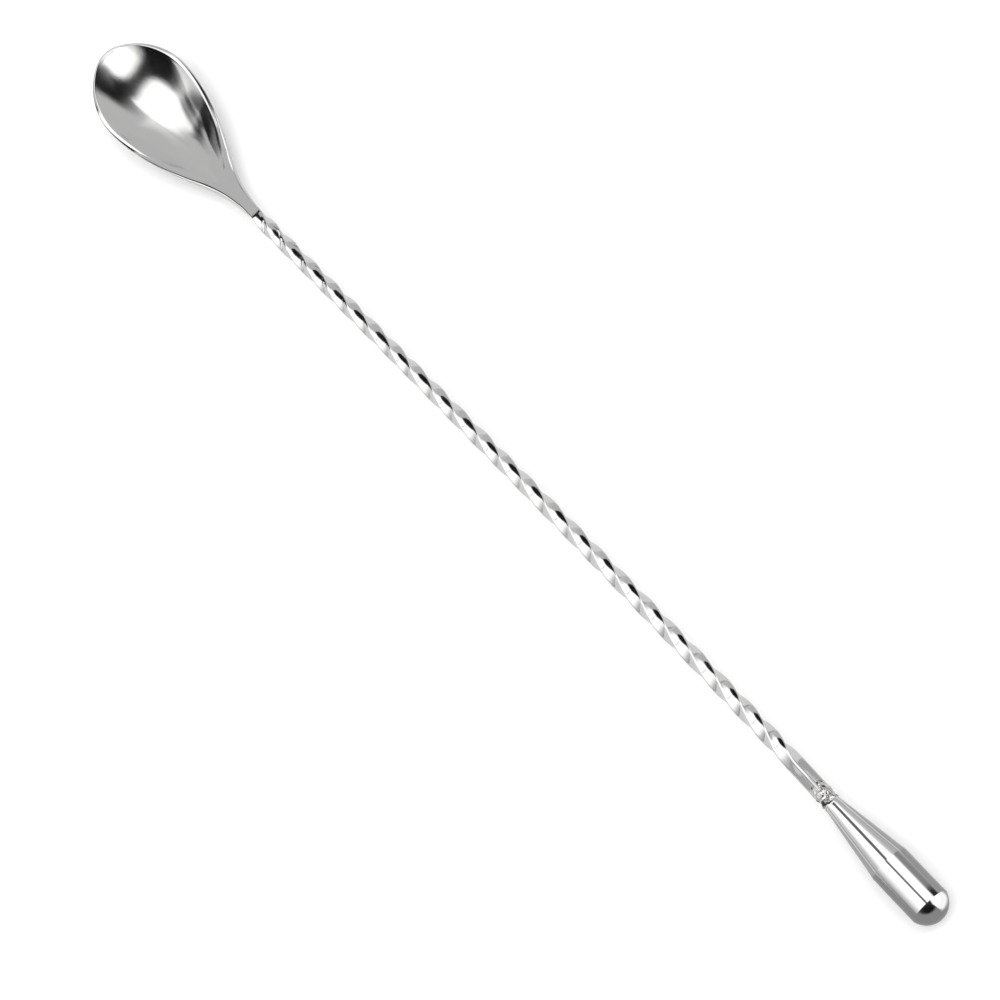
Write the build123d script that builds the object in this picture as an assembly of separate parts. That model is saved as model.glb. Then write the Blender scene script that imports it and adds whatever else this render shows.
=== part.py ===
from build123d import *
import math
import os

# Twisted bar spoon with a teardrop counterweight. Millimetres.
#
# Frame: +X runs along the shaft from the counterweight to the tip of the bowl, +Z is up out of the open bowl.
# The origin is the bottom centre of the whole spoon as it lies on a table: the counterweight and the bottom of
# the bowl both touch z = 0, so the shaft lies parallel to the table.
# Inside this file "d" is the distance from the domed end of the counterweight, "u" the distance back from the
# tip of the bowl, and heights are first worked out from the shaft's axis.

# ---- driving dimensions -------------------------------------------------------------------------------------
overall_length = 305.0          # dome end to bowl tip

# counterweight: dome, cylinder, cone
weight_diameter = 9.0
dome_sphere_ratio = 1.04        # radius of the dome's sphere over the cylinder's radius: leaves a crease at its foot
cylinder_end = 14.7             # d of the crease between cylinder and cone
cone_end = 31.6                 # d of the cone's small end
cone_end_diameter = 3.70

# weld bead between the counterweight and the bar
bead_end = 35.4                 # d where the bar starts
bead_profile = [(0.0, 1.85), (0.55, 1.93), (1.15, 1.80), (1.8, 1.88), (2.5, 1.76), (3.1, 1.86), (3.8, 1.72)]

# shaft: 3 mm square bar with rolled corners
bar_side = 3.0
bar_corner_radius = 0.35
stub_end = 44.3                 # d where the straight end stops and the twist begins
twist_end = 235.3               # d where the twist stops, at the bowl's neck
twist_quarter_turns = 23.5      # right-handed; the straight end stands corner up, the neck end stands flat side up

# bowl and neck
rim_slope = math.tan(math.radians(3.3))   # the rim plane rises towards the tip
rim_height_neck = 1.00          # rim plane above the shaft's axis where the neck starts (u = 55)
bowl_depth = 5.3                # rim plane to the deepest point inside
deepest_u = 23.0
wall = 1.0
bowl_section_fullness = 0.12    # 0 is a parabola across the bowl, larger is rounder with steeper sides

# half width of the planform against distance from the tip
outer_half_width = [(0.0, 0.0), (0.5, 2.62), (1.0, 3.62), (2.1, 5.15), (4.0, 7.20), (6.0, 8.85), (7.9, 10.05), (11.8, 11.75),
                    (15.0, 12.58), (18.5, 12.95), (22.0, 12.88), (26.9, 12.35), (31.0, 11.65), (34.4, 10.85),
                    (40.0, 9.15), (45.5, 7.10), (49.1, 5.62), (52.7, 4.22), (56.3, 3.08), (59.9, 2.32),
                    (63.5, 1.90), (66.6, 1.66), (69.7, 1.5)]
# width of the flat rim between the planform and the edge of the hollow
rim_band = [(0.6, 0.55), (6.0, 0.80), (14.0, 1.05), (34.0, 1.10), (45.5, 1.20), (52.0, 1.6), (56.0, 2.2), (60.0, 2.6)]
# how far the underside lies below the top (the rim plane, then the neck's top) along the centre line
under_depth = [(0.0, 0.40), (1.0, 1.15), (2.0, 1.80), (4.0, 2.81), (6.0, 3.60), (9.0, 4.55), (12.0, 5.26), (16.0, 5.89), (20.0, 6.23),
               (24.0, 6.29), (28.0, 6.16), (33.0, 5.73), (38.0, 5.05), (43.0, 4.12), (48.0, 3.05), (53.0, 2.32),
               (58.0, 2.12), (63.0, 2.40), (69.7, 3.02)]
# and how far below it along the edge of the planform: a narrow land in the bowl, the full thickness at the bar
edge_depth = [(0.0, 0.40), (10.0, 0.42), (30.0, 0.46), (40.0, 0.60), (48.0, 0.95), (56.0, 1.65), (62.0, 2.25), (69.7, 3.02)]
under_fullness = [(0.0, 0.0), (8.0, 0.03), (16.0, 0.05), (28.0, 0.05), (36.0, 0.03), (44.0, 0.0), (70.0, 0.0)]
hollow_tip = 0.6                # u where the hollow starts at the tip
hollow_end = 57.5               # u where the hollow has run out into the neck


# ---- helpers ------------------------------------------------------------------------------------------------
def spline(table):
    """Natural cubic through a table of (x, y); straight on beyond its ends."""
    xs = [p[0] for p in table]
    ys = [p[1] for p in table]
    n = len(xs)
    h = [xs[i + 1] - xs[i] for i in range(n - 1)]
    lo, di, up, rh = [0.0] * n, [1.0] * n, [0.0] * n, [0.0] * n
    for i in range(1, n - 1):
        lo[i], di[i], up[i] = h[i - 1], 2 * (h[i - 1] + h[i]), h[i]
        rh[i] = 6 * ((ys[i + 1] - ys[i]) / h[i] - (ys[i] - ys[i - 1]) / h[i - 1])
    for i in range(1, n):
        f = lo[i] / di[i - 1]
        di[i] -= f * up[i - 1]
        rh[i] -= f * rh[i - 1]
    m = [0.0] * n
    for i in range(n - 2, 0, -1):
        m[i] = (rh[i] - up[i] * m[i + 1]) / di[i]

    def value(i, x):
        p, q = (xs[i + 1] - x) / h[i], (x - xs[i]) / h[i]
        return p * ys[i] + q * ys[i + 1] + ((p ** 3 - p) * m[i] + (q ** 3 - q) * m[i + 1]) * h[i] ** 2 / 6

    s0 = (ys[1] - ys[0]) / h[0] - h[0] * m[1] / 6
    s1 = (ys[-1] - ys[-2]) / h[-1] + h[-1] * m[-2] / 6

    def f(x):
        if x <= xs[0]:
            return ys[0] + s0 * (x - xs[0])
        if x >= xs[-1]:
            return ys[-1] + s1 * (x - xs[-1])
        i = 0
        while x > xs[i + 1]:
            i += 1
        return value(i, x)

    return f


def smooth(t):
    t = min(1.0, max(0.0, t))
    return t * t * (3 - 2 * t)


# half width over the root of the distance is smooth right up to the tip, so the planform is interpolated that way
outer_shape = spline([(0.0, 3.70)] + [(u, w / math.sqrt(u)) for u, w in outer_half_width if u >= 2.0])
band = spline(rim_band)
under = spline(under_depth)
edge = spline(edge_depth)
fullness = spline(under_fullness)


def outer_w(u):
    return math.sqrt(max(u, 0.0)) * outer_shape(max(u, 0.0))


def rim_z(u):
    """Rim plane above the shaft's axis."""
    return rim_height_neck + rim_slope * (55.0 - u)


def drop_to_table():
    """Lowest point of the underside along the centre line, below the shaft's axis."""
    return min(rim_z(0.1 * i) - under(0.1 * i) for i in range(500))


rim_height_neck -= drop_to_table() + weight_diameter / 2      # the bowl touches the table where the counterweight does


def top_z(u):
    """Top of the bowl and neck above the shaft's axis: the rim plane, easing up to the flat of the bar."""
    u_bar = overall_length - twist_end
    return rim_z(u) + (bar_side / 2 - rim_z(u_bar)) * smooth((u - 52.0) / (u_bar - 52.0))


def hollow_depth(u):
    """Depth of the hollow below the rim plane along the centre line; negative past its ends."""
    if u <= deepest_u:
        e = (deepest_u - u) / (deepest_u - hollow_tip)
        return bowl_depth * (1 - e * e) * (1 + 0.22 * e * e)
    e = (u - deepest_u) / (hollow_end - deepest_u)
    if e >= 1.0:
        return -0.05 * (u - hollow_end)
    return bowl_depth * (1 - e * e) ** 1.35 * (1 + 0.05 * e * e)


# Across the bowl both surfaces are even quartics. Their y * y factor stays finite where the planform closes at the
# tip, so it is tabled and interpolated.
stations = [1.2, 2.0, 3.0, 4.5, 6.0, 8.0, 10.0, 12.5, 15.0, 18.0, 21.0, 24.5, 28.0, 32.0, 36.0, 40.0, 44.0, 48.0, 52.0]
hollow_bend = spline([(u, hollow_depth(u) / (outer_w(u) - band(u)) ** 2) for u in stations if u > 1.9])
under_bend = spline([(u, (under(u) - edge(u)) / outer_w(u) ** 2) for u in stations + [56.0, 60.0, 65.0, 69.7]])


def hollow_z(u, y):
    """The inside surface of the bowl."""
    k = bowl_section_fullness * smooth(u / 14.0) * (1 - smooth((u - 34.0) / 14.0))
    w2 = max(outer_w(max(u, 4.0)) - band(max(u, 4.0)), 5.0) ** 2
    b = hollow_bend(min(u, 52.0))
    return top_z(u) - hollow_depth(u) + b * (1 - k) * y * y + b * k / w2 * y ** 4


def under_z(u, y):
    """The underside of the bowl and neck."""
    k = fullness(u)
    w2 = max(outer_w(max(u, 4.0)), 6.0) ** 2
    b = under_bend(u)
    return top_z(u) - under(u) + b * (1 - k) * y * y + b * k / w2 * y ** 4


def z_off():
    return weight_diameter / 2


def place(u, y, z):
    """Distance from the tip, across, and height above the shaft's axis, to the part's frame."""
    return (overall_length / 2 - u, y, z + z_off())


def X(d):
    return d - overall_length / 2


# ---- counterweight ------------------------------------------------------------------------------------------
R = weight_diameter / 2
Rs = R * dome_sphere_ratio
cap = Rs - math.sqrt(Rs * Rs - R * R)
ang = math.asin(R / Rs)
mid = (Rs - Rs * math.cos(ang / 2), Rs * math.sin(ang / 2))
with BuildPart() as weight_bp:
    with BuildSketch(Plane.XY) as sk:
        with BuildLine() as ln:
            ThreePointArc((0, 0), mid, (cap, R))
            Line((cap, R), (cylinder_end, R))
            Line((cylinder_end, R), (cone_end, cone_end_diameter / 2))
            Line((cone_end, cone_end_diameter / 2), (cone_end, 0))
            Line((cone_end, 0), (0, 0))
        make_face()
    revolve(axis=Axis.X)
drop_weight = weight_bp.part.moved(Location((X(0), 0, z_off())))

# ---- weld bead ----------------------------------------------------------------------------------------------
with BuildPart() as bead_bp:
    with BuildSketch(Plane.XY) as sk:
        with BuildLine() as ln:
            Line((0, 0), (0, bead_profile[0][1]))
            Spline(*bead_profile)
            Line((bead_profile[-1][0], bead_profile[-1][1]), (bead_profile[-1][0], 0))
            Line((bead_profile[-1][0], 0), (0, 0))
        make_face()
    revolve(axis=Axis.X)
weld_bead = bead_bp.part.moved(Location((X(cone_end), 0, z_off())))

# ---- twisted shaft ------------------------------------------------------------------------------------------
def bar_section(d, turn_deg):
    """Rounded square across the shaft at distance d, turned about +X."""
    pl = Plane(origin=(X(d), 0, z_off()), x_dir=(0, 1, 0), z_dir=(1, 0, 0))
    sk = RectangleRounded(bar_side, bar_side, bar_corner_radius, rotation=turn_deg)
    return (pl * sk).face()


twist_total = 90.0 * twist_quarter_turns
start_face = bar_section(stub_end, 45.0)
twist_len = twist_end - stub_end
twist = Solid.extrude_linear_with_rotation(start_face, (X(stub_end), 0, z_off()), (twist_len, 0, 0), twist_total)
stub = extrude(bar_section(bead_end, 45.0), amount=stub_end - bead_end, dir=(1, 0, 0))
twisted_shaft = Part() + stub + twist

# ---- bowl and neck ------------------------------------------------------------------------------------------
u_max = overall_length - twist_end
us = [-1.3 + (u_max + 2.3) * i / 72.0 for i in range(73)]
ys = [-1.0 + i / 18.0 for i in range(37)]     # shares of the grid's half width, which follows the planform


def grid_w(u):
    return 1.02 * outer_w(u + 2.5) + 1.0


under_face = Face.make_surface_from_array_of_points(
    [[place(u, y * grid_w(u), under_z(u, y * grid_w(u))) for y in ys] for u in us], tol=2e-3, min_deg=3, max_deg=3)
uh = [-1.3 + (hollow_end + 4.3) * i / 64.0 for i in range(65)]
hollow_face = Face.make_surface_from_array_of_points(
    [[place(u, y * grid_w(u), hollow_z(u, y * grid_w(u))) for y in ys] for u in uh], tol=2e-3, min_deg=3, max_deg=3)

# planform
pts = [(overall_length / 2 - u, outer_w(u)) for u in
       (0.12, 0.5, 1.1, 2.1, 3.2, 4.6, 6.5, 9.0, 12.0, 15.2, 18.6, 22.0, 26.5, 31.0, 35.5, 40.0, 44.0, 48.0, 52.0, 56.0, 60.0, 64.0, 67.5)]
with BuildSketch() as plan:
    with BuildLine():
        upper = [(overall_length / 2 - u_max, bar_side / 2)] + [p for p in reversed(pts)]
        outline = upper + [(overall_length / 2, 0.0)] + [(x, -y) for x, y in reversed(upper)]
        Spline(*outline, tangents=[(1, 0.0), (-1, 0.0)])
        Line(outline[-1], outline[0])
    make_face()
plan_solid = extrude(plan.sketch, amount=30).moved(Location((0, 0, -10)))

# side profile of the top: rim plane, easing up to the flat of the bar at the neck
with BuildSketch(Plane.XZ) as side:
    with BuildLine():
        xa = overall_length / 2 - u_max
        top = [(overall_length / 2 - u, top_z(u) + z_off()) for u in (u_max, 68.0, 65.5, 63.0, 60.5, 58.0, 56.0, 54.0, 52.0)]
        Spline(*top, tangents=[(1, -rim_slope * -1), (1, rim_slope)])
        a = top[-1]
        b = (overall_length / 2 + 1, rim_z(-1) + z_off())
        Line(a, b)
        Line(b, (overall_length / 2 + 1, -12))
        Line((overall_length / 2 + 1, -12), (xa, -12))
        Line((xa, -12), top[0])
    make_face()
side_solid = extrude(side.sketch, amount=20, both=True)

above_under = Solid.extrude(under_face, Vector(0, 0, 24))
above_hollow = Solid.extrude(hollow_face, Vector(0, 0, 24))
blank = plan_solid & side_solid
blank = blank & above_under
spoon_bowl = blank - above_hollow

nodes = {
    "spoon_bowl": spoon_bowl,
    "twisted_shaft": twisted_shaft,
    "weld_bead": weld_bead,
    "drop_weight": drop_weight,
}

os.makedirs("parts", exist_ok=True)
for name, shape in nodes.items():
    solids = shape.solids()
    out = solids[0] if len(solids) == 1 else Compound(children=list(solids))
    bb = out.bounding_box()
    print(f"{name}: {len(solids)} solid(s), volume {out.volume:.2f}, x {bb.min.X:.2f}..{bb.max.X:.2f}, "
          f"y {bb.min.Y:.2f}..{bb.max.Y:.2f}, z {bb.min.Z:.2f}..{bb.max.Z:.2f}, valid {out.is_valid}")
    export_step(out, f"parts/{name}.step")
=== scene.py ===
import math

import bmesh
import bpy
import numpy as np
from mathutils import Matrix, Vector, noise


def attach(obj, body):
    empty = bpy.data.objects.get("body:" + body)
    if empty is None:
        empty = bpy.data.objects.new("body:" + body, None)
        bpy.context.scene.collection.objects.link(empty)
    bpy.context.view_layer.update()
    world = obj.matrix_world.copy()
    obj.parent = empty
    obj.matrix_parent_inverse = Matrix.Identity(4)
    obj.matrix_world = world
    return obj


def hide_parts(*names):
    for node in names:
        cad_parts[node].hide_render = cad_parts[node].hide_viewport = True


# Looks for the twisted bar spoon. Lengths in this file are millimetres until a mesh is written, which is in metres.
# d is the distance from the counterweight's dome, u the distance back from the bowl's tip, z the height above the
# shaft's axis; put() takes those to the row frame.

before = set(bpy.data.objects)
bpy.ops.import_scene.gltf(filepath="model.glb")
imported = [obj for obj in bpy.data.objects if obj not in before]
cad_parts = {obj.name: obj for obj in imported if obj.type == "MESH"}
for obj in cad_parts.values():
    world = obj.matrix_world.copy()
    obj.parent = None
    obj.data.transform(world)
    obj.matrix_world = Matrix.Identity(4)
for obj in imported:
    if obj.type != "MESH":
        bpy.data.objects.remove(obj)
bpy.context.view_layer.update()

LENGTH = 305.0
AXIS_Z = 4.5


def put(d, y, z):
    return np.stack([(d - LENGTH / 2), y, z + AXIS_Z], -1) / 1000.0


# ---- the spoon's shape functions (same tables as the CAD) -----------------------------------------------------
outer_half_width = [(0.0, 0.0), (0.5, 2.62), (1.0, 3.62), (2.1, 5.15), (4.0, 7.20), (6.0, 8.85), (7.9, 10.05), (11.8, 11.75),
                    (15.0, 12.58), (18.5, 12.95), (22.0, 12.88), (26.9, 12.35), (31.0, 11.65), (34.4, 10.85),
                    (40.0, 9.15), (45.5, 7.10), (49.1, 5.62), (52.7, 4.22), (56.3, 3.08), (59.9, 2.32),
                    (63.5, 1.90), (66.6, 1.66), (69.7, 1.5)]
rim_band = [(0.6, 0.55), (6.0, 0.80), (14.0, 1.05), (34.0, 1.10), (45.5, 1.20), (52.0, 1.6), (56.0, 2.2), (60.0, 2.6)]
under_depth = [(0.0, 0.40), (1.0, 1.15), (2.0, 1.80), (4.0, 2.81), (6.0, 3.60), (9.0, 4.55), (12.0, 5.26), (16.0, 5.89), (20.0, 6.23),
               (24.0, 6.29), (28.0, 6.16), (33.0, 5.73), (38.0, 5.05), (43.0, 4.12), (48.0, 3.05), (53.0, 2.32),
               (58.0, 2.12), (63.0, 2.40), (69.7, 3.02)]
edge_depth = [(0.0, 0.40), (10.0, 0.42), (30.0, 0.46), (40.0, 0.60), (48.0, 0.95), (56.0, 1.65), (62.0, 2.25), (69.7, 3.02)]
under_fullness = [(0.0, 0.0), (8.0, 0.03), (16.0, 0.05), (28.0, 0.05), (36.0, 0.03), (44.0, 0.0), (70.0, 0.0)]
rim_slope = math.tan(math.radians(3.3))
bowl_depth, deepest_u, hollow_tip, hollow_end, bowl_section_fullness = 5.3, 23.0, 0.6, 57.5, 0.12


class Spline:
    """Natural cubic through a table of (x, y), straight on beyond its ends; takes arrays."""

    def __init__(self, table):
        self.x = np.array([p[0] for p in table], float)
        self.y = np.array([p[1] for p in table], float)
        n, x, y = len(table), self.x, self.y
        h = np.diff(x)
        A = np.eye(n)
        r = np.zeros(n)
        for i in range(1, n - 1):
            A[i, i - 1], A[i, i], A[i, i + 1] = h[i - 1], 2 * (h[i - 1] + h[i]), h[i]
            r[i] = 6 * ((y[i + 1] - y[i]) / h[i] - (y[i] - y[i - 1]) / h[i - 1])
        self.m, self.h = np.linalg.solve(A, r), h
        self.s0 = (y[1] - y[0]) / h[0] - h[0] * self.m[1] / 6
        self.s1 = (y[-1] - y[-2]) / h[-1] + h[-1] * self.m[-2] / 6

    def __call__(self, v):
        v = np.asarray(v, float)
        i = np.clip(np.searchsorted(self.x, v) - 1, 0, len(self.x) - 2)
        h = self.h[i]
        p, q = (self.x[i + 1] - v) / h, (v - self.x[i]) / h
        f = p * self.y[i] + q * self.y[i + 1] + ((p**3 - p) * self.m[i] + (q**3 - q) * self.m[i + 1]) * h**2 / 6
        f = np.where(v <= self.x[0], self.y[0] + self.s0 * (v - self.x[0]), f)
        return np.where(v >= self.x[-1], self.y[-1] + self.s1 * (v - self.x[-1]), f)


def smooth(t):
    t = np.clip(t, 0.0, 1.0)
    return t * t * (3 - 2 * t)


outer_shape = Spline([(0.0, 3.70)] + [(u, w / math.sqrt(u)) for u, w in outer_half_width if u >= 2.0])
band, under, edge, fullness = Spline(rim_band), Spline(under_depth), Spline(edge_depth), Spline(under_fullness)


def outer_w(u):
    u = np.maximum(u, 0.0)
    return np.sqrt(u) * outer_shape(u)


_u = np.arange(500) * 0.1
RIM_NECK = 1.00 - float(np.min(1.00 + rim_slope * (55.0 - _u) - under(_u))) - 4.5


def rim_z(u):
    return RIM_NECK + rim_slope * (55.0 - u)


def top_z(u):
    t = smooth((u - 52.0) / 17.7)
    return rim_z(u) * (1 - t) + 1.5 * t


def hollow_depth(u):
    e1 = (deepest_u - u) / (deepest_u - hollow_tip)
    e2 = (u - deepest_u) / (hollow_end - deepest_u)
    near_tip = bowl_depth * (1 - e1 * e1) * (1 + 0.22 * e1 * e1)
    e2c = np.clip(e2, 0, 1)
    far = np.where(e2 >= 1.0, -0.05 * (u - hollow_end), bowl_depth * (1 - e2c * e2c) ** 1.35 * (1 + 0.05 * e2c * e2c))
    return np.where(u <= deepest_u, near_tip, far)


stations = [1.2, 2.0, 3.0, 4.5, 6.0, 8.0, 10.0, 12.5, 15.0, 18.0, 21.0, 24.5, 28.0, 32.0, 36.0, 40.0, 44.0, 48.0, 52.0]
hollow_bend = Spline([(u, float(hollow_depth(np.float64(u)) / (outer_w(u) - band(u)) ** 2)) for u in stations if u > 1.9])
under_bend = Spline([(u, float((under(u) - edge(u)) / outer_w(u) ** 2)) for u in stations + [56.0, 60.0, 65.0, 69.7]])


def hollow_z(u, y):
    k = bowl_section_fullness * smooth(u / 14.0) * (1 - smooth((u - 34.0) / 14.0))
    k = k - 0.30 * smooth((u - 20.0) / 12.0)      # the walls ease off below the rim towards the neck
    w2 = np.maximum(outer_w(np.maximum(u, 4.0)) - band(np.maximum(u, 4.0)), 5.0) ** 2
    b = hollow_bend(np.minimum(u, 52.0))
    return top_z(u) - hollow_depth(u) + b * (1 - k) * y * y + b * k / w2 * y**4


def under_z(u, y):
    k = fullness(u)
    w2 = np.maximum(outer_w(np.maximum(u, 4.0)), 6.0) ** 2
    b = under_bend(u)
    return top_z(u) - under(u) + b * (1 - k) * y * y + b * k / w2 * y**4


def smin(a, b, k):
    h = np.clip(0.5 + 0.5 * (b - a) / k, 0, 1)
    return b + (a - b) * h - k * h * (1 - h)


# the real bar isn't dead straight: it bows sideways by a fraction of a millimetre between its ends
bow = Spline([(-20.0, 0.30), (0.0, 0.25), (15.0, 0.15), (31.6, -0.08), (44.0, -0.35), (60.0, -0.52), (90.0, -0.62), (120.0, -0.56),
              (145.0, -0.38), (165.0, -0.18), (185.0, 0.05), (205.0, 0.34), (222.0, 0.62), (232.0, 0.72), (245.0, 0.66),
              (262.0, 0.35), (285.0, 0.05), (305.0, 0.0)])


# ---- mesh helpers --------------------------------------------------------------------------------------------
def mesh_object(name, verts, faces, node, material, merge=0.0):
    me = bpy.data.meshes.new(name)
    me.from_pydata([tuple(map(float, v)) for v in verts], [], faces)
    bm = bmesh.new()
    bm.from_mesh(me)
    if merge:
        bmesh.ops.remove_doubles(bm, verts=bm.verts, dist=merge)
    bmesh.ops.dissolve_degenerate(bm, edges=bm.edges, dist=1e-8)
    loose = [v for v in bm.verts if not v.link_faces]
    bmesh.ops.delete(bm, geom=loose, context="VERTS")
    rims = [e for e in bm.edges if e.is_boundary]
    if rims:
        bmesh.ops.holes_fill(bm, edges=rims, sides=0)
    bmesh.ops.recalc_face_normals(bm, faces=bm.faces)
    if bm.calc_volume(signed=True) < 0:
        bmesh.ops.reverse_faces(bm, faces=bm.faces)
    bm.to_mesh(me)
    bm.free()
    me.polygons.foreach_set("use_smooth", [True] * len(me.polygons))
    me.set_sharp_from_angle(angle=math.radians(42))
    ob = bpy.data.objects.new(name, me)
    bpy.context.scene.collection.objects.link(ob)
    me.materials.append(material)
    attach(ob, "root")
    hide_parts(node)
    return ob


def skin(n, k, closed_ring=True, offset=0):
    """Quads over n rings of k points."""
    f = []
    for i in range(n - 1):
        for j in range(k if closed_ring else k - 1):
            a, b = i * k + j, i * k + (j + 1) % k
            f.append((offset + a, offset + b, offset + b + k, offset + a + k))
    return f


def noise3(x, y, z, octaves=3):
    return noise.fractal(Vector((x, y, z)), 0.9, 2.0, octaves)


# ---- node helpers --------------------------------------------------------------------------------------------
class S:
    """A shader socket with arithmetic, so that formulas read as formulas."""

    def __init__(self, tree, out):
        self.t, self.o = tree, out

    def _m(self, op, *a, clamp=False):
        n = self.t.nodes.new("ShaderNodeMath")
        n.operation = op
        n.use_clamp = clamp
        for i, v in enumerate((self,) + a):
            if isinstance(v, S):
                self.t.links.new(v.o, n.inputs[i])
            else:
                n.inputs[i].default_value = float(v)
        return S(self.t, n.outputs[0])

    def __add__(self, b): return self._m("ADD", b)
    __radd__ = __add__
    def __sub__(self, b): return self._m("SUBTRACT", b)
    def __rsub__(self, b): return (self * -1.0) + b
    def __mul__(self, b): return self._m("MULTIPLY", b)
    __rmul__ = __mul__
    def __truediv__(self, b): return self._m("DIVIDE", b)
    def power(self, b): return self._m("POWER", b)
    def abs(self): return self._m("ABSOLUTE")
    def sqrt(self): return self._m("SQRT")
    def arccos(self): return self._m("ARCCOSINE")
    def maxi(self, b): return self._m("MAXIMUM", b)
    def mini(self, b): return self._m("MINIMUM", b)

    def step(self, lo, hi):
        """0 below lo, 1 above hi, smooth between; lo > hi turns it round."""
        if lo > hi:
            return 1.0 - self.step(hi, lo)
        n = self.t.nodes.new("ShaderNodeMapRange")
        n.interpolation_type = "SMOOTHSTEP"
        self.t.links.new(self.o, n.inputs[0])
        n.inputs[1].default_value, n.inputs[2].default_value = lo, hi
        return S(self.t, n.outputs[0])

    def lerp(self, a, b):
        """a where this is 0, b where it is 1."""
        return (self * (b - a)) + a if not isinstance(a, S) else (b - a) * self + a


def capsules(x, y, pts):
    """Signed distance to a chain of tapered capsules through (x, y, radius) points: below 0 inside."""
    best = None
    for (x1, y1, r1), (x2, y2, r2) in zip(pts[:-1], pts[1:]):
        ex, ey = x2 - x1, y2 - y1
        l2 = ex * ex + ey * ey
        px, py = x - x1, y - y1
        t = ((px * ex + py * ey) * (1.0 / l2)).maxi(0.0).mini(1.0)
        qx, qy = px - t * ex, py - t * ey
        dist = (qx * qx + qy * qy).sqrt() - (t * (r2 - r1) + r1)
        best = dist if best is None else best.mini(dist)
    return best


def split(tree, vec_out):
    n = tree.nodes.new("ShaderNodeSeparateXYZ")
    tree.links.new(vec_out, n.inputs[0])
    return [S(tree, n.outputs[i]) for i in range(3)]


def scaled(tree, vec_out, sx, sy, sz):
    n = tree.nodes.new("ShaderNodeMapping")
    n.inputs["Scale"].default_value = (sx, sy, sz)
    tree.links.new(vec_out, n.inputs["Vector"])
    return n.outputs[0]


def noise_tex(tree, vec_out, scale, detail=3.0, rough=0.5, dist=0.0):
    n = tree.nodes.new("ShaderNodeTexNoise")
    n.inputs["Scale"].default_value = scale
    n.inputs["Detail"].default_value = detail
    n.inputs["Roughness"].default_value = rough
    n.inputs["Distortion"].default_value = dist
    tree.links.new(vec_out, n.inputs["Vector"])
    return S(tree, n.outputs[0])


def bump(tree, height, strength, distance, normal=None):
    n = tree.nodes.new("ShaderNodeBump")
    n.inputs["Strength"].default_value = strength
    n.inputs["Distance"].default_value = distance
    tree.links.new(height.o, n.inputs["Height"])
    if normal is not None:
        tree.links.new(normal, n.inputs["Normal"])
    return n.outputs[0]


def rgb_of(tree, value, r, g, b):
    n = tree.nodes.new("ShaderNodeCombineXYZ")
    for i, k in enumerate((r, g, b)):
        tree.links.new((value * k).o, n.inputs[i])
    return n.outputs[0]


def steel(name, build):
    m = bpy.data.materials.new(name)
    m.use_nodes = True
    t = m.node_tree
    p = t.nodes["Principled BSDF"]
    p.inputs["Metallic"].default_value = 1.0
    coord = t.nodes.new("ShaderNodeTexCoord").outputs["Object"]
    build(t, p, coord)
    return m


STEEL = 0.455


def bowl_steel(t, p, co):
    # satin finish: fine streaks along the spoon, cloudier polish, a few stray marks
    streak = noise_tex(t, scaled(t, co, 18, 900, 900), 3.0, 4.0, 0.6)
    fine = noise_tex(t, scaled(t, co, 60, 3500, 3500), 2.0, 2.0, 0.5)
    cloud = noise_tex(t, co, 160.0, 3.0)
    marks = noise_tex(t, scaled(t, co, 40, 600, 600), 1.7, 2.0, 0.4, 1.5)
    att = t.nodes.new("ShaderNodeAttribute")
    att.attribute_name = "polish"
    pol = S(t, att.outputs["Fac"])
    tone = streak * 0.05 + cloud * 0.05 + 0.95
    t.links.new(rgb_of(t, tone, STEEL, STEEL * 0.998, STEEL * 0.99), p.inputs["Base Color"])
    rough = (streak - 0.5) * 0.05 + (cloud - 0.5) * 0.04 + marks.step(0.72, 0.80) * 0.04 + 0.085
    rough = (rough * (1.0 - pol * 0.30)).maxi(0.04)
    t.links.new(rough.o, p.inputs["Roughness"])
    n1 = bump(t, streak, 0.07, 0.00008)
    n2 = bump(t, fine, 0.08, 0.00003, n1)
    t.links.new(n2, p.inputs["Normal"])


def shaft_steel(t, p, co):
    grain = noise_tex(t, scaled(t, co, 150, 900, 900), 1.0, 4.0, 0.6)
    cloud = noise_tex(t, co, 420.0, 3.0)
    dots = noise_tex(t, co, 2600.0, 2.0)
    tone = cloud * 0.06 + 0.965
    t.links.new(rgb_of(t, tone, STEEL, STEEL * 0.998, STEEL * 0.992), p.inputs["Base Color"])
    rough = (grain - 0.5) * 0.10 + (cloud - 0.5) * 0.08 + dots.step(0.74, 0.86) * 0.05 + 0.085
    t.links.new(rough.maxi(0.04).o, p.inputs["Roughness"])
    n1 = bump(t, grain, 0.10, 0.00006)
    n2 = bump(t, cloud, 0.12, 0.00012, n1)
    t.links.new(n2, p.inputs["Normal"])


def weight_steel(t, p, co):
    # lathe work: rings along the length, a little polishing haze
    ring = noise_tex(t, scaled(t, co, 5200, 8, 8), 1.0, 3.0, 0.6)
    broad = noise_tex(t, scaled(t, co, 900, 4, 4), 1.0, 3.0, 0.6)
    cloud = noise_tex(t, co, 300.0, 3.0)
    scr = noise_tex(t, scaled(t, co, 60, 2600, 2600), 1.0, 1.0, 0.4)
    tone = cloud * 0.04 + 0.975
    t.links.new(rgb_of(t, tone, STEEL, STEEL * 0.999, STEEL * 0.995), p.inputs["Base Color"])
    rough = (ring - 0.5) * 0.05 + (cloud - 0.5) * 0.05 + scr.step(0.70, 0.80) * 0.06 + 0.085
    t.links.new(rough.maxi(0.03).o, p.inputs["Roughness"])
    n1 = bump(t, ring, 0.06, 0.00002)
    n2 = bump(t, broad, 0.05, 0.00005, n1)
    t.links.new(n2, p.inputs["Normal"])


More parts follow.
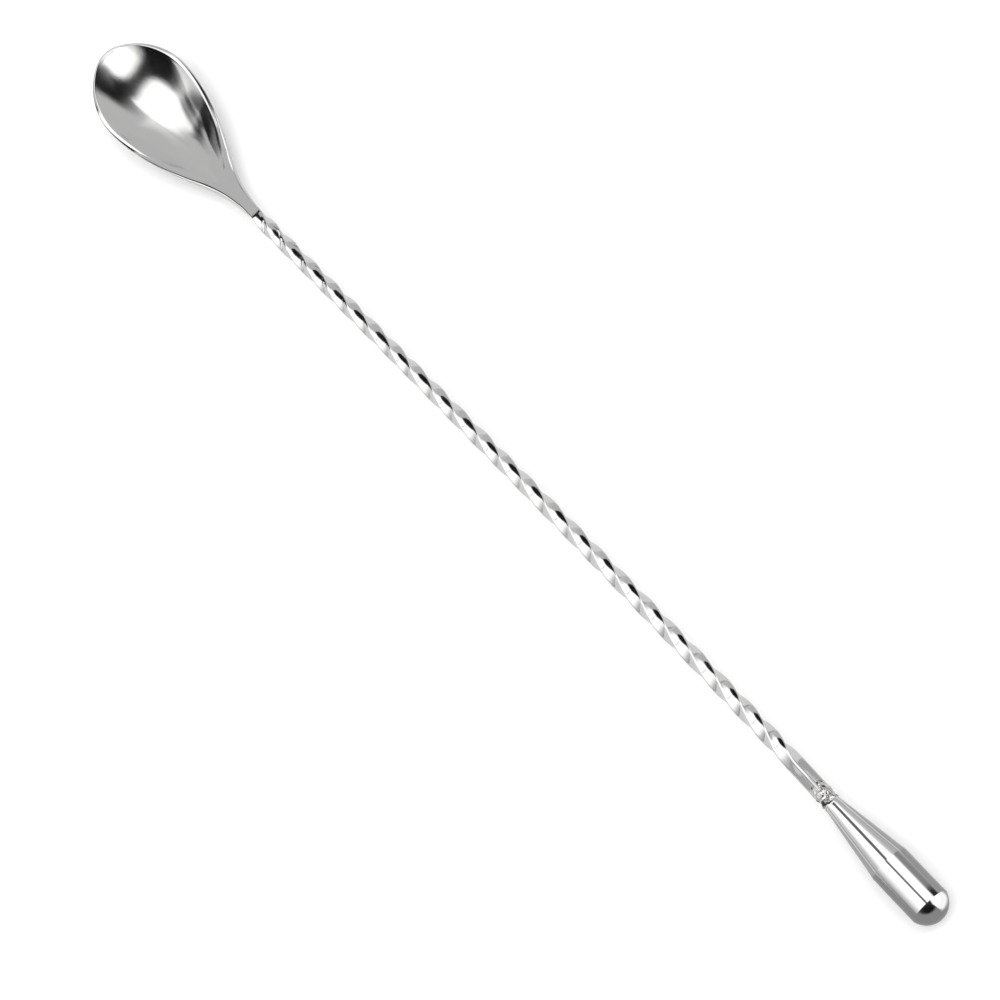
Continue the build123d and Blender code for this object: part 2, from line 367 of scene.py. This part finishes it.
def weld_steel(t, p, co):
    lump = noise_tex(t, co, 620.0, 3.0, 0.55)
    pit = noise_tex(t, co, 900.0, 2.0, 0.5)
    hole = pit.step(0.43, 0.37)
    # the base colour drops to near black in the pits, painted shade in the recesses, and varies a little with the lumps
    tone = (1.0 - hole * 0.92) * (lump * 0.12 + 0.88)
    t.links.new(rgb_of(t, tone, STEEL, STEEL * 0.99, STEEL * 0.97), p.inputs["Base Color"])
    rough = (lump - 0.5) * 0.2 + hole * 0.35 + 0.17
    t.links.new(rough.maxi(0.06).o, p.inputs["Roughness"])
    n1 = bump(t, lump, 0.6, 0.00035)
    n2 = bump(t, 1.0 - hole, 0.7, 0.00020, n1)
    t.links.new(n2, p.inputs["Normal"])


mat_bowl = steel("bowl_satin_steel", bowl_steel)
mat_shaft = steel("shaft_rolled_steel", shaft_steel)
mat_weight = steel("weight_turned_steel", weight_steel)
mat_weld = steel("weld_rough_steel", weld_steel)


# ---- bowl and neck -------------------------------------------------------------------------------------------
def make_bowl():
    U1 = 69.7
    tau = np.linspace(0, 1, 6001)
    uu = U1 * tau**2
    ww = outer_w(uu)
    arc = np.concatenate([[0], np.cumsum(np.hypot(np.diff(uu), np.diff(ww)))])
    n = 300
    ub = np.interp(np.linspace(0, arc[-1], n + 1), arc, uu)      # one side, tip first
    ub[0], ub[-1] = 0.0, U1
    wb = outer_w(ub)
    # inward normals of the outline on the +y side
    e = 1e-3
    du = np.where(ub < 1e-6, 0.0, 1.0)
    dw = np.where(ub < 1e-6, 1.0, (outer_w(ub + e) - outer_w(np.maximum(ub - e, 0))) / np.where(ub > e, 2 * e, ub + e + 1e-12))
    ln = np.hypot(du, dw)
    nu, ny = dw / ln, -du / ln
    dmax = np.where(ub > 30, np.minimum(2.2, 0.62 * wb), 2.2)
    mm = np.array([0, .012, .035, .07, .12, .18, .25, .34, .44, .55, .66, .77, .87, .95, 1.01, 1.06, 1.11, 1.16, 1.22, 1.30, 1.42, 1.6, 1.85, 2.2])
    ts = np.linspace(0, 1, 27)[1:] ** 0.9
    um = np.sqrt(ub**2 + 100.0)
    um = np.minimum(um, U1 - (U1 - ub) * 0.0)
    um = np.where(ub > 40, ub + (um - ub) * (1 - smooth((ub - 40) / 15)), um)
    r_top = 0.20 + 0.65 * smooth((ub - 36) / 14) - 0.45 * smooth((ub - 64) / 5.7)
    r_bot = 0.19 + 0.17 * smooth((ub - 48) / 14)
    rows_top, rows_bot, pol = [], [], []

    def surf(u, y, d, top):
        bd = band(np.clip(u, 0.6, 60.0))
        if top:
            crown = np.where(d < bd * 1.6, 0.34 * (d - bd / 2) ** 2 / bd, 0.34 * (1.1 * bd) ** 2 / bd) * (1 - smooth((ub - 38) / 14))
            a = top_z(u) - crown
            hz = hollow_z(u, y)
            hz = np.where(u < 0.62, top_z(u) + 0.3, hz)
            z = smin(a, hz, 0.09 + 0.8 * smooth((u - 39) / 9))
            r = r_top
        else:
            z = under_z(u, y)
            r = r_bot
        q = np.clip(1 - d / r, 0, 1)
        fall = r * (1 - np.sqrt(np.maximum(0, 1 - q * q)))
        return z - fall if top else z + fall

    for top in (True, False):
        rows = []
        for m in mm:
            d = m * dmax / 2.2
            u, y = ub + nu * d, wb + ny * d
            y = np.maximum(y, 0.0)
            rows.append((u, y, surf(u, y, d, top)))
            if top:
                pol.append(np.where(d < band(np.clip(u, .6, 60.)) * 1.05, 1.0, 0.0) * (1 - smooth((ub - 44) / 10)))
        u0, y0 = ub + nu * dmax, np.maximum(wb + ny * dmax, 0)
        for t in ts:
            u, y = u0 + (um - u0) * t, y0 * (1 - t)
            rows.append((u, y, surf(u, y, 5.0, top)))
            if top:
                pol.append(np.zeros_like(u))
        if top:
            rows_top = rows
        else:
            rows_bot = rows
    # profile from the middle of the top, out to the edge, and back under to the middle
    prof = list(reversed(rows_top)) + rows_bot
    polish = list(reversed(pol)) + [np.full(n + 1, 0.35)] * len(rows_bot)
    k = len(prof)
    V, P = [], []
    for side in (1, -1):
        idx = range(n, -1, -1) if side == 1 else range(1, n + 1)
        for i in idx:
            for j in range(k):
                u, y, z = prof[j][0][i], prof[j][1][i] * side, prof[j][2][i]
                V.append((u, y, z))
                P.append(polish[j][i])
    V = np.array(V)
    rings = 2 * n + 1
    F = []
    for i in range(rings - 1):
        for j in range(k - 1):
            a = i * k + j
            F.append((a, a + 1, a + 1 + k, a + k))
    d = LENGTH - V[:, 0]
    world = put(d, V[:, 1] + bow(d), V[:, 2])
    ob = mesh_object("bowl_and_neck", world, F, "spoon_bowl", mat_bowl, merge=1.5e-6)
    # carry the polish mask over the merged mesh by nearest source point
    from mathutils.kdtree import KDTree
    tree = KDTree(len(world))
    for i, c in enumerate(world):
        tree.insert(c, i)
    tree.balance()
    att = ob.data.attributes.new("polish", "FLOAT", "POINT")
    att.data.foreach_set("value", [float(P[tree.find(v.co)[1]]) for v in ob.data.vertices])
    return ob


# ---- twisted bar ---------------------------------------------------------------------------------------------
# where a corner of the bar faces -y, counted back from the neck; the hand-made twist isn't perfectly even
corner_d = [231.0, 223.3, 214.5, 206.1, 197.97, 189.63, 180.9, 173.2, 164.68, 156.6, 147.75, 139.89, 131.84, 123.54, 115.01, 107.06,
            98.83, 90.51, 82.55, 74.34, 65.8, 58.44, 50.8]


def square_ring(side, r, flats=7, arcs=7, hollow=0.0):
    pts = []
    h = side / 2 - r
    for c in range(4):
        a0 = math.radians(90 * c)
        cy, cz = [(h, h), (-h, h), (-h, -h), (h, -h)][c]
        for i in range(arcs):
            a = a0 + math.radians(90) * i / (arcs - 1)
            pts.append((cy + r * math.cos(a), cz + r * math.sin(a)))
        ny, nz = [(-h, h), (-h, -h), (h, -h), (h, h)][c]
        p0 = pts[-1]
        a1 = math.radians(90 * (c + 1))
        p1 = (ny + r * math.cos(a1), nz + r * math.sin(a1))
        for i in range(1, flats + 1):
            t = i / (flats + 1)
            y, z = p0[0] + (p1[0] - p0[0]) * t, p0[1] + (p1[1] - p0[1]) * t
            s = hollow * math.sin(math.pi * t)
            pts.append((y * (1 - s / (side / 2)), z * (1 - s / (side / 2))))
    return np.array(pts)


def make_shaft():
    turn = Spline([(35.0, 45.0), (39.0, 45.0), (42.6, 46.5)] + [(d, 2115.0 - 90.0 * k) for k, d in reversed(list(enumerate(corner_d)))] + [(235.0, 2157.5), (240.0, 2160.0)])
    ds = np.concatenate([np.linspace(34.6, 44.0, 40), np.linspace(44.0, 235.5, 640)[1:]])
    ring = square_ring(3.0, 0.35, hollow=0.02)
    V = []
    for d in ds:
        th = math.radians(float(turn(d))) if d > 39.0 else math.radians(45.0)
        if d > 235.0:
            th = math.radians(2160.0)
        c, s = math.cos(th), math.sin(th)
        w = 1 + 0.006 * noise3(d * 0.09, 3.1, 0.7)
        y, z = ring[:, 0] * w, ring[:, 1] * w
        V.append(put(np.full(len(ring), d), y * c - z * s + float(bow(d)), y * s + z * c))
    k = len(ring)
    F = skin(len(ds), k)
    F.append(tuple(range(k - 1, -1, -1)))
    F.append(tuple((len(ds) - 1) * k + j for j in range(k)))
    return mesh_object("twisted_bar", np.concatenate(V), F, "twisted_shaft", mat_shaft)


# ---- counterweight -------------------------------------------------------------------------------------------
def revolve(profile, segs, name, node, material, wobble=None):
    V, F = [], []
    prof = np.array(profile)
    for d, r in prof:
        a = np.linspace(0, 2 * math.pi, segs, endpoint=False)
        rr = np.full(segs, r) if wobble is None else np.array([wobble(d, r, t) for t in a])
        V.append(put(np.full(segs, d), rr * np.cos(a) + float(bow(d)), rr * np.sin(a)))
    F = skin(len(prof), segs)
    return mesh_object(name, np.concatenate(V), F, node, material, merge=1e-7)


def round_corners(points, radii, steps=8):
    """A polyline in (d, r) whose inner corners are turned into arcs."""
    out = [np.array(points[0], float)]
    for i in range(1, len(points) - 1):
        a, b, c = (np.array(points[j], float) for j in (i - 1, i, i + 1))
        rr = radii[i]
        if rr <= 0:
            out.append(b)
            continue
        u1, u2 = (a - b) / np.linalg.norm(a - b), (c - b) / np.linalg.norm(c - b)
        half = math.acos(max(-1, min(1, float(u1 @ u2)))) / 2
        tl = min(rr / math.tan(half), 0.45 * np.linalg.norm(a - b), 0.45 * np.linalg.norm(c - b))
        p1, p2 = b + u1 * tl, b + u2 * tl
        for k in range(steps + 1):
            t = k / steps
            out.append((1 - t) ** 2 * p1 + 2 * t * (1 - t) * b + t * t * p2)
    out.append(np.array(points[-1], float))
    return out


def make_weight():
    R = 4.42
    Rs = R * 1.04
    ang = math.asin(R / Rs)
    d_crease = Rs - Rs * math.cos(ang)
    prof = [(Rs - Rs * math.cos(a), Rs * math.sin(a)) for a in np.linspace(0.0, ang - 0.03, 40)]
    prof[0] = (0.0, 0.012)
    line = round_corners([prof[-1], (d_crease, R), (14.7, R), (31.6, 1.86)], [0, 0.25, 1.2, 0])
    line = [np.array(p) for p in prof[:-1]] + list(line)
    # long straight stretches get more rings so that the turning marks have something to ride on
    dense = [line[0]]
    for p in line[1:]:
        q = dense[-1]
        m = max(1, int(np.linalg.norm(p - q) / 0.5))
        for i in range(1, m + 1):
            dense.append(q + (p - q) * i / m)
    dense += [np.array((31.75, 1.78)), np.array((31.8, 0.012))]
    return revolve(dense, 128, "turned_weight", "drop_weight", mat_weight)


def make_weld():
    base = Spline([(30.9, 1.92), (31.3, 1.90), (31.55, 1.80), (31.8, 1.98), (32.4, 2.02), (33.0, 1.86), (33.5, 1.92), (34.2, 2.02),
                   (34.8, 1.88), (35.3, 1.94), (35.8, 1.86), (36.3, 1.70)])

    def wob(d, r, a):
        if r < 1.3:
            return r
        y, z = math.cos(a), math.sin(a)
        n = noise3(d * 0.75, y * 1.2 + 7, z * 1.2) * 0.16 + noise3(d * 1.9, y * 2.4, z * 2.4 + 3) * 0.09
        return r + n - 0.04

    ds = np.linspace(30.9, 36.4, 90)
    prof = [(30.88, 0.012), (30.89, 1.2)] + [(d, float(base(d))) for d in ds] + [(36.42, 1.2), (36.43, 0.012)]
    return revolve(prof, 96, "weld_bead_rough", "weld_bead", mat_weld, wob)


make_bowl()
make_shaft()
make_weight()
make_weld()

# ---- floor ---------------------------------------------------------------------------------------------------
def plain(name, rgb, rough=0.6):
    m = bpy.data.materials.new(name)
    m.use_nodes = True
    t = m.node_tree
    p = t.nodes["Principled BSDF"]
    co = t.nodes.new("ShaderNodeTexCoord").outputs["Object"]
    v = noise_tex(t, co, 6.0, 2.0) * 0.01 + 0.99
    t.links.new(rgb_of(t, v, *rgb), p.inputs["Base Color"])
    p.inputs["Roughness"].default_value = rough
    p.inputs["Specular IOR Level"].default_value = 0.0
    return m


bpy.ops.mesh.primitive_circle_add(vertices=96, radius=3.0, fill_type="NGON", location=(0, 0, -0.00005))
floor = bpy.context.object
floor.name = "floor"
floor.data.materials.append(plain("pale_floor", (0.94, 0.94, 0.94)))


# ---- light ---------------------------------------------------------------------------------------------------
world = bpy.data.worlds.new("studio")
bpy.context.scene.world = world
world.use_nodes = True
wt = world.node_tree
wt.nodes.clear()
dirs = split(wt, wt.nodes.new("ShaderNodeTexCoord").outputs["Generated"])
dx, dy, dz = dirs
ang = dz.mini(1.0).maxi(-1.0).arccos() * 57.29578
hyp = (dx * dx + dy * dy).sqrt() + 1e-5
A = ang * dx / hyp            # degrees from straight up, towards the bowl's end
B = ang * dy / hyp * -1.0     # degrees from straight up, towards -y

TENT = 0.93
WHITE = 2.45


def inside(dist, soft):
    """1 inside a shape, 0 outside, with an edge this soft."""
    return dist.step(soft, -soft)


# one broad softbox overhead that dims towards its ends, cut by the dark gap beside it and by the narrow slit
# between its two panels
panel = (A + 13.0).step(-2.5, 2.5) * B.step(-80.0, -34.0) * B.step(84.0, 36.0)
reach = (B + 60.0) * -0.50 + 62.0          # how far the panel goes towards the bowl's end, by height in B
reach = reach.maxi(28.0 - (B - 28.0).maxi(0.0) * 0.28)
panel = panel * (reach - A).step(-4.0, 4.0)
slit = (B - 4.5).abs().step(4.2, 1.0) * (22.0 - A).step(-4.0, 4.0)
gap = capsules(A, B, [(33, 29, 5.0), (37, 17, 9.5), (40.5, 0, 11.2), (47, -19, 10.5), (54.5, -34, 9.0), (65, -49, 6.5),
                      (78, -60, 5.0), (106, -67, 4.2)])
L = panel * (WHITE - TENT) + TENT + B.step(58.0, 80.0) * 0.16
L = L * (1.0 - slit * 0.45)
L = L * (1.0 - inside(gap, 2.4) * 0.985)
bg = wt.nodes.new("ShaderNodeBackground")
wt.links.new(L.o, bg.inputs["Strength"])
bg.inputs["Color"].default_value = (1, 1, 1, 1)
out = wt.nodes.new("ShaderNodeOutputWorld")
wt.links.new(bg.outputs[0], out.inputs[0])


def card_material(name, build):
    """An emitting card whose brightness comes from build(d, my), my being millimetres towards -y."""
    m = bpy.data.materials.new(name)
    m.use_nodes = True
    t = m.node_tree
    t.nodes.clear()
    x, y, z = split(t, t.nodes.new("ShaderNodeTexCoord").outputs["Object"])
    value = build(x * 1000.0 + LENGTH / 2, y * -1000.0)
    e = t.nodes.new("ShaderNodeEmission")
    t.links.new(value.o, e.inputs["Strength"])
    o = t.nodes.new("ShaderNodeOutputMaterial")
    t.links.new(e.outputs[0], o.inputs[0])
    return m


def flat_card(name, height, outline, material):
    """A flat card over the spoon at this height above the shaft's axis, outline in (d, my)."""
    P = [((d - LENGTH / 2) / 1000, -my / 1000, (height + AXIS_Z) / 1000) for d, my in outline]
    me = bpy.data.meshes.new(name)
    me.from_pydata(P, [], [tuple(range(len(P)))])
    ob = bpy.data.objects.new(name, me)
    bpy.context.scene.collection.objects.link(ob)
    me.materials.append(material)
    ob.visible_camera = False
    ob.visible_shadow = False
    ob.visible_diffuse = False
    return ob


def piecewise(x, pts):
    """Straight segments through (x, value) points."""
    v = (x * 0.0) + pts[0][1]
    for (x1, v1), (x2, v2) in zip(pts[:-1], pts[1:]):
        n = x.t.nodes.new("ShaderNodeMapRange")
        x.t.links.new(x.o, n.inputs[0])
        n.inputs[1].default_value, n.inputs[2].default_value = x1, x2
        n.inputs[4].default_value = v2 - v1
        v = v + S(x.t, n.outputs[0])
    return v


def soft(x, half):
    """0 to 1 as x goes from -half to half, half being a socket."""
    t = ((x / half) * 0.5 + 0.5).maxi(0.0).mini(1.0)
    return t * t * (3.0 - t * 2.0)


def bowl_card(d, my):
    # the left-hand panel, black between the panels, the right-hand panel, then grey
    edge_left = piecewise(my, [(-40, 301.2), (-32, 300.2), (-24, 299.4), (-16, 298.7), (-8, 298.4), (0, 298.1), (4, 297.6), (8, 296.6),
                               (14, 296.0), (20, 298.0), (30, 299.0)])
    soft_left = piecewise(my, [(-36, 3.6), (-28, 2.6), (-20, 1.8), (-10, 1.3), (0, 1.1), (10, 1.6), (20, 3.0)])
    left = piecewise(my, [(-50, 0.3), (-44, 0.5), (-36, 1.25), (-32, 1.5), (-28, 1.85), (-24, 2.3), (-20, 2.45), (6, 2.45), (9, 1.5),
                          (12, 0.60), (16, 0.32), (20, 0.14), (25, 0.05), (32, 0.02)])
    left = left * soft(edge_left - d, soft_left)
    edge_right = piecewise(my, [(-125, 390.0), (-95, 372.0), (-75, 358.0), (-60, 348.0), (-52, 340.0), (-44, 333.2), (-40, 329.8),
                                (-36, 325.6), (-32, 320.7), (-28, 315.7), (-24, 311.0), (-20, 307.5), (-16, 305.2), (-12, 303.7),
                                (-8, 303.1), (-4, 302.7), (0, 302.7), (4, 303.3), (8, 303.9), (12, 304.4), (14, 305.3), (16, 306.3),
                                (20, 308.4), (24, 309.4), (28, 309.6), (32, 308.2), (36, 306.2), (40, 304.4), (48, 303.0), (60, 296.0),
                                (70, 288.0)])
    soft_right = piecewise(my, [(-95, 22.0), (-60, 15.0), (-44, 10.5), (-36, 8.0), (-32, 6.6), (-28, 5.0), (-24, 3.4), (-20, 2.3),
                                (-16, 1.7), (-12, 1.2), (0, 1.0), (12, 1.3), (16, 4.0), (20, 5.5), (30, 6.0)])
    edge_far = piecewise(my, [(-125, 430.0), (-87, 390.0), (-75, 375.0), (-63, 363.0), (-54, 357.0), (-46, 350.0), (-40, 343.5),
                              (-32, 335.5), (-28, 332.0), (-24, 328.2), (-20, 324.6), (-16, 321.4), (-12, 318.9), (-8, 317.1),
                              (-4, 315.8), (0, 315.4), (8, 315.4), (14, 316.2), (18, 317.5)])
    panel_light = piecewise(my, [(-90, 1.15), (-56, 1.18), (-44, 1.45), (-36, 1.95), (-30, 2.45), (12.5, 2.45), (15.5, 0.0)])
    lit = soft(edge_far - d, (d * 0.0) + 1.1) * my.step(15.5, 12.5)
    grey = (d - edge_far).step(0.0, 9.0) * 0.10 + 0.85
    streak_mid = (my - 16.0) * 0.60 + 315.0
    streak = (d - streak_mid).abs().step(5.5, 0.5) * piecewise(my, [(12, 0.0), (15, 0.80), (18, 0.70), (24, 0.42), (30, 0.28), (40, 0.06), (46, 0.0)])
    above = my.step(12.5, 15.5)
    right = lit * panel_light + (1.0 - lit) * (grey * (1.0 - above) + above * 0.95) + streak
    right = right * soft(d - edge_right, soft_right)
    v = left + right + 0.012
    gap2 = capsules(d, my, [(319.8, -11, 0.2), (323.5, -17, 1.0), (329, -23.5, 2.1), (334, -30, 3.0), (339, -36.5, 3.4),
                            (345, -42, 3.5), (352, -48.5, 3.4), (359, -56, 3.3), (368, -66, 3.3), (380, -76.5, 3.4), (396, -88, 3.6)])
    return v * (1.0 - gap2.step(0.9, -0.9) * 0.97)


flat_card("card_bowl", 40.0, [(289, 125), (400, 125), (400, -130), (289, -130)], card_material("card_bowl_light", bowl_card))


def neck_card(d, my):
    # grey over the neck's flat, a dark strip beside it and light beyond
    beside = capsules(d, my, [(236, -7.6, 4.3), (246, -8.2, 4.3), (256, -10.2, 4.4), (264, -13.2, 4.5), (274, -17.5, 4.8)])
    outer = (my + piecewise(d, [(236, 12.5), (246, 13.0), (256, 15.0), (264, 18.0), (274, 22.5)])).step(0.8, -0.8)
    v = outer * (2.4 - TENT) + TENT
    return v * (1.0 - beside.step(0.6, -0.6) * 0.975)


flat_card("card_neck", 8.0, [(241.5, 7), (270, 7), (278, -4), (290, -60), (246, -60), (241.5, -11)],
          card_material("card_neck_light", neck_card))


def weight_card(d, my):
    # surface coordinates of the mirror points: the counterweight's straight sides throw a fan of rays whose lean
    # along the spoon grows with their lean across it
    q = (my * my + 18.0 * 18.0).sqrt()
    turn = (my * (1.0 / 18.0))._m("ARCTANGENT") * 28.64789
    d_cyl = d - q * 0.204
    d_cone = d - q * 0.53
    on_cone = (d - q * 0.37 - 14.85).step(-0.9, 0.9)
    cyl = piecewise(turn, [(-46, 0.50), (-42, 0.78), (-38, 1.0), (-33, 1.45), (-28, 1.9), (-24, 2.2), (-20, 2.6), (22, 2.6), (24.5, 1.7),
                           (27.5, 0.60), (32, 0.47), (38, 0.50), (46, 0.56)])
    cyl = cyl * (1.0 - (turn + 1.2).abs().step(4.0, 2.0) * 0.88)
    patch = (5.3 - d_cyl).step(-0.4, 0.4) * (turn - 26.5).step(-1.0, 1.0)
    cyl = cyl * (1.0 - patch * 0.93)
    middle = (d_cone - 15.0) * 0.27 + 1.2
    half = (d_cone - 15.0) * 0.26 + 3.8
    cone = piecewise(turn, [(-46, 0.76), (-41, 0.86), (-37, 1.02), (-32, 1.32), (-28, 1.75), (-23, 2.4), (-20, 2.6), (19, 2.6), (22, 2.1),
                            (26, 1.35), (30, 1.05), (35, 0.90), (42, 0.80)])
    cone = cone * (1.0 - (half - (turn - middle).abs()).step(-1.2, 1.2) * 0.90)
    body = (cone - cyl) * on_cone + cyl
    # and the dome's own view of the room
    line = my - 8.0 + (d + 15.0).mini(0.0) * 0.35
    white = line.step(-2.6, 2.6)
    fan = ((d + 22.0) * (d + 22.0) * 0.00075 + (my + 9.0) * (my + 9.0) * 0.0006).sqrt().step(1.5, 0.25)
    dome = (0.48 - fan * 0.465) * (1.0 - white) + white * WHITE
    on_dome = (2.0 - d).step(-1.0, 1.0)
    return (dome - body) * on_dome + body


flat_card("card_weight", 22.0, [(-120, 150), (60, 150), (60, 90), (56, 40), (45, 12), (43.5, 0), (45, -12), (56, -40), (60, -90),
                                (60, -150), (-120, -150)], card_material("card_weight_light", weight_card))


def low_card(d, my):
    side = my.step(-3.0, 3.0)
    near = (15.5 - (d - (my * my + 36.0).sqrt() * 0.204)).step(-1.5, 1.5)
    body = 0.76 - near * (1.0 - side) * 0.24 - near * side * 0.14
    bright = (my - 8.0 + (d + 15.0).mini(0.0) * 0.35).step(-4.0, 4.0)
    dome = bright * 1.55 + 0.50
    on_dome = (1.0 - d).step(-2.0, 2.0)
    return (dome - body) * on_dome + body


flat_card("card_floor_by_weight", -AXIS_Z + 0.03, [(-120, 150), (34, 150), (34, -150), (-120, -150)],
          card_material("card_floor_light", low_card))


def side_card(name, ends):
    """An upright card from the floor to the edge of the card over the counterweight."""
    P = [((d - LENGTH / 2) / 1000, -my / 1000, z / 1000) for (d, my), z in [(ends[0], 0.03), (ends[1], 0.03), (ends[1], 26.5), (ends[0], 26.5)]]
    me = bpy.data.meshes.new(name)
    me.from_pydata(P, [], [(0, 1, 2, 3)])
    ob = bpy.data.objects.new(name, me)
    bpy.context.scene.collection.objects.link(ob)
    me.materials.append(bpy.data.materials["card_floor_light"])
    ob.visible_camera = ob.visible_shadow = ob.visible_diffuse = False


side_card("card_side_a", [(-120, 150), (140, 150)])
side_card("card_side_b", [(-120, -150), (140, -150)])
side_card("card_end", [(-120, 150), (-120, -150)])

# ---- camera --------------------------------------------------------------------------------------------------
PHI, DELTA, RHO, FOC, DIST, IX, IY = 0.5084, -0.01587, 0.8004, 2136.5, 484.3, 473.23, 433.87


def make_camera():
    c = Vector((-math.sin(PHI), -math.cos(PHI) * math.sin(DELTA), math.cos(PHI) * math.cos(DELTA)))
    pos = Vector((150.0, 0, 0)) + DIST * c
    a = Vector((-1.0, 0, 0))
    e1 = (a - a.dot(c) * c).normalized()
    F = -c
    e2 = F.cross(e1)
    right = math.cos(RHO) * e1 - math.sin(RHO) * e2
    down = math.sin(RHO) * e1 + math.cos(RHO) * e2
    R = Matrix((right, down, F))
    t = Vector(((IX - 500) / FOC, (IY - 500) / FOC, 1.0)).normalized()
    Q = Vector((0, 0, 1)).rotation_difference(t).to_matrix()
    R = Q @ R
    cam = bpy.data.cameras.new("camera")
    cam.sensor_width = 36.0
    cam.lens = FOC * 36.0 / 1000.0
    cam.clip_start, cam.clip_end = 0.02, 20.0
    ob = bpy.data.objects.new("camera", cam)
    bpy.context.scene.collection.objects.link(ob)
    M = Matrix((R[0], -R[1], -R[2])).transposed().to_4x4()
    M.translation = Vector(((pos.x - LENGTH / 2) / 1000, pos.y / 1000, (pos.z + AXIS_Z) / 1000))
    ob.matrix_world = M
    bpy.context.scene.camera = ob


make_camera()
bpy.context.scene.view_settings.view_transform = "Standard"
bpy.context.scene.view_settings.look = "None"
